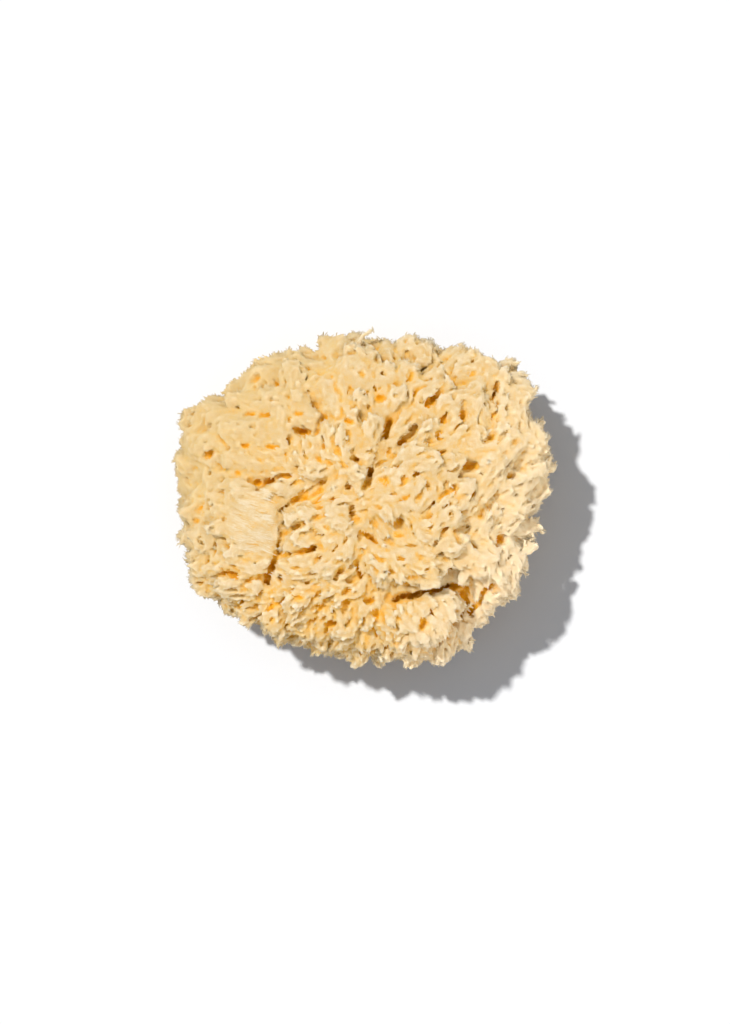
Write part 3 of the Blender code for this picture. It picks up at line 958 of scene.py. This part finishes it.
class Graph:
    """Short ways to make shader nodes."""

    def __init__(self, name):
        self.material = bpy.data.materials.new(name)
        self.material.use_nodes = True
        self.nodes = self.material.node_tree.nodes
        self.links = self.material.node_tree.links
        self.shader = self.nodes["Principled BSDF"]

    def node(self, kind, inputs=None, **settings):
        made = self.nodes.new(kind)
        for key, value in settings.items():
            setattr(made, key, value)
        for key, value in (inputs or {}).items():
            self.plug(made.inputs[key], value)
        return made

    def plug(self, socket, value):
        if isinstance(value, bpy.types.NodeSocket):
            self.links.new(value, socket)
        else:
            socket.default_value = value

    def attribute(self, name):
        return self.node("ShaderNodeAttribute", attribute_name=name).outputs["Fac"]

    def math(self, operation, a, b):
        return self.node("ShaderNodeMath", {0: a, 1: b}, operation=operation).outputs[0]

    def weighted(self, *parts):
        """The sum of values, each times its share."""
        total = None
        for value, share in parts:
            part = self.math("MULTIPLY", value, share)
            total = part if total is None else self.math("ADD", total, part)
        return total

    def span(self, value, low, high):
        """0 at low, 1 at high, smooth between."""
        made = self.node("ShaderNodeMapRange", {0: value, 1: low, 2: high})
        made.interpolation_type = "SMOOTHSTEP"
        return made.outputs[0]

    def noise(self, vector, scale, detail, roughness=0.5):
        inputs = {"Vector": vector, "Scale": scale, "Detail": detail, "Roughness": roughness}
        return self.node("ShaderNodeTexNoise", inputs).outputs["Fac"]

    def blend(self, factor, a, b):
        made = self.node("ShaderNodeMix", data_type="RGBA", blend_type="MIX")
        self.plug(made.inputs[0], factor)
        self.plug(made.inputs[6], a)
        self.plug(made.inputs[7], b)
        return made.outputs[2]

    def ramp(self, value, stops):
        made = self.node("ShaderNodeValToRGB", {0: value})
        ramp = made.color_ramp
        while len(ramp.elements) < len(stops):
            ramp.elements.new(0.5)
        for element, (place, colour) in zip(ramp.elements, stops):
            element.position = place
            element.color = colour
        return made.outputs["Color"]


def sponge_material(name, scatter):
    """Dry felted fibre: cream on the crests, with painted shade down in the pits, golden and darker.

    Scatter is the share of the light that spreads inside it.
    """
    g = Graph(name)
    here = g.node("ShaderNodeTexCoord").outputs["Object"]
    split = g.node("ShaderNodeSeparateXYZ", {0: here})
    x, y = split.outputs[0], split.outputs[1]
    rough = g.math("SUBTRACT", g.noise(here, 700, 3), 0.5)
    grain = g.math("SUBTRACT", g.noise(here, 2200, 2), 0.5)
    # The crease and relief parts of the level paint shade into the pits and hollows; rough and grain add
    # random tone, and pale makes fibres paler towards their tips.
    level = g.weighted(
        (g.attribute("relief"), RELIEF_SHARE), (g.attribute("crease"), CREASE_SHARE),
        (rough, ROUGH_SHARE), (grain, GRAIN_SHARE), (g.attribute("pale"), PALE_SHARE),
    )
    level = g.math("DIVIDE", g.math("SUBTRACT", level, DEEPEST), HIGHEST - DEEPEST)
    colour = g.ramp(level, PIT_SHADE_TONES)
    specks = g.span(g.noise(here, 2600, 1), 0.62, 0.72)
    specks = g.math("MULTIPLY", specks, g.span(level, 0.5, 0.25))
    colour = g.blend(g.math("MULTIPLY", specks, 0.5), colour, SPECK)
    east = g.span(g.math("SUBTRACT", x, g.math("MULTIPLY", y, 0.3)), 0.02, 0.07)
    south_east = g.span(g.math("SUBTRACT", x, g.math("MULTIPLY", y, 0.9)), 0.045, 0.085)
    west = g.span(g.math("SUBTRACT", g.math("MULTIPLY", y, 0.7), x), 0.02, 0.075)
    crest = g.span(level, 0.15, 0.5)
    # Painted light and shade on the crests: paler east and south-east, away from the key lamp, and darker
    # west, facing it.
    side_light_tints = ((east, 0.5, EAST_PAINTED_LIGHT), (south_east, 0.45, SOUTH_EAST_PAINTED_LIGHT), (west, 0.6, WEST_PAINTED_SHADE))
    for part, strength, tint in side_light_tints:
        share = g.math("MULTIPLY", g.math("MULTIPLY", part, crest), strength)
        colour = g.blend(share, colour, tint)
    fine = g.noise(here, 2500, 3, 0.6)
    bump = g.node("ShaderNodeBump", {"Strength": 0.5, "Distance": 0.0006, "Height": fine})
    for socket, value in (
        ("Base Color", colour), ("Roughness", 0.9), ("Specular IOR Level", 0.05), ("Normal", bump.outputs[0]),
        ("Subsurface Weight", scatter), ("Subsurface Radius", (1.0, 0.85, 0.7)), ("Subsurface Scale", 0.002),
    ):
        g.plug(g.shader.inputs[socket], value)
    return g.material


FELT = sponge_material("dry_sponge_felt", 1.0)
FIBRE = sponge_material("dry_sponge_fibre", 0.0)
for piece in (body, *layers):
    piece.data.materials.append(FELT if piece is body else FIBRE)
    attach(piece, "root")
    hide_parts("sponge")


# Floor, light and camera, in metres but for the sensor, which is in millimetres. The camera looks straight
# down, and the photograph's scale holds at SCALE_HEIGHT over the floor.

SENSOR = 36
CAMERA_HEIGHT = 1.0
SCALE_HEIGHT = 0.03
KEY_WAY = (0.44, -0.38, -0.9)
SIDE_WAY = (-0.55, 0.45, -0.6)
DOWN = (0.0, 0.0, -1.0)
WARM = (1.0, 0.93, 0.80)
SKY = (0.94, 0.99, 1.08, 1)
SKY_STRENGTH = 0.31


def floor():
    """A plain pale floor, just under the cut."""
    mesh = bpy.data.meshes.new("floor")
    mesh.from_pydata([(-2, -2, 0), (2, -2, 0), (2, 2, 0), (-2, 2, 0)], [], [(0, 1, 2, 3)])
    obj = bpy.data.objects.new("floor", mesh)
    bpy.context.scene.collection.objects.link(obj)
    obj.location.z = -0.0002
    g = Graph("pale_floor")
    g.plug(g.shader.inputs["Base Color"], (0.94, 0.94, 0.94, 1))
    g.plug(g.shader.inputs["Roughness"], 1.0)
    g.plug(g.shader.inputs["Specular IOR Level"], 0.0)
    mesh.materials.append(g.material)


def sun(name, energy, angle, way, receivers=(), colour=(1.0, 1.0, 1.0)):
    """A sun lamp; where receivers are given, its light reaches them alone."""
    light = bpy.data.lights.new(name, "SUN")
    light.energy = energy
    light.color = colour
    light.angle = math.radians(angle)
    obj = bpy.data.objects.new(name, light)
    bpy.context.scene.collection.objects.link(obj)
    obj.rotation_euler = Vector(way).to_track_quat("-Z", "Y").to_euler()
    if receivers:
        lit = bpy.data.collections.new("lit_by_" + name)
        for receiver in receivers:
            lit.objects.link(receiver)
        obj.light_linking.receiver_collection = lit


def sky():
    """Even light from all round."""
    world = bpy.data.worlds.new("soft")
    bpy.context.scene.world = world
    world.use_nodes = True
    background = world.node_tree.nodes["Background"]
    background.inputs[0].default_value = SKY
    background.inputs[1].default_value = SKY_STRENGTH


def camera():
    """Straight above, with the photograph's frame."""
    data = bpy.data.cameras.new("camera")
    obj = bpy.data.objects.new("camera", data)
    bpy.context.scene.collection.objects.link(obj)
    width, height = PHOTO_SIZE
    data.sensor_width = SENSOR
    data.lens = SENSOR * (CAMERA_HEIGHT - SCALE_HEIGHT) / (height * PHOTO_SCALE * MM)
    x, y = plan(width / 2, height / 2)
    obj.location = (x * MM, y * MM, CAMERA_HEIGHT)
    bpy.context.scene.camera = obj


floor()
sun("key", 2.95, 2.5, KEY_WAY)
sun("fill_side", 1.5, 80, SIDE_WAY, [body, *layers], WARM)
sun("fill_top", 2.6, 70, DOWN, [body, *layers], WARM)
sky()
camera()
bpy.context.scene.view_settings.view_transform = "Standard"
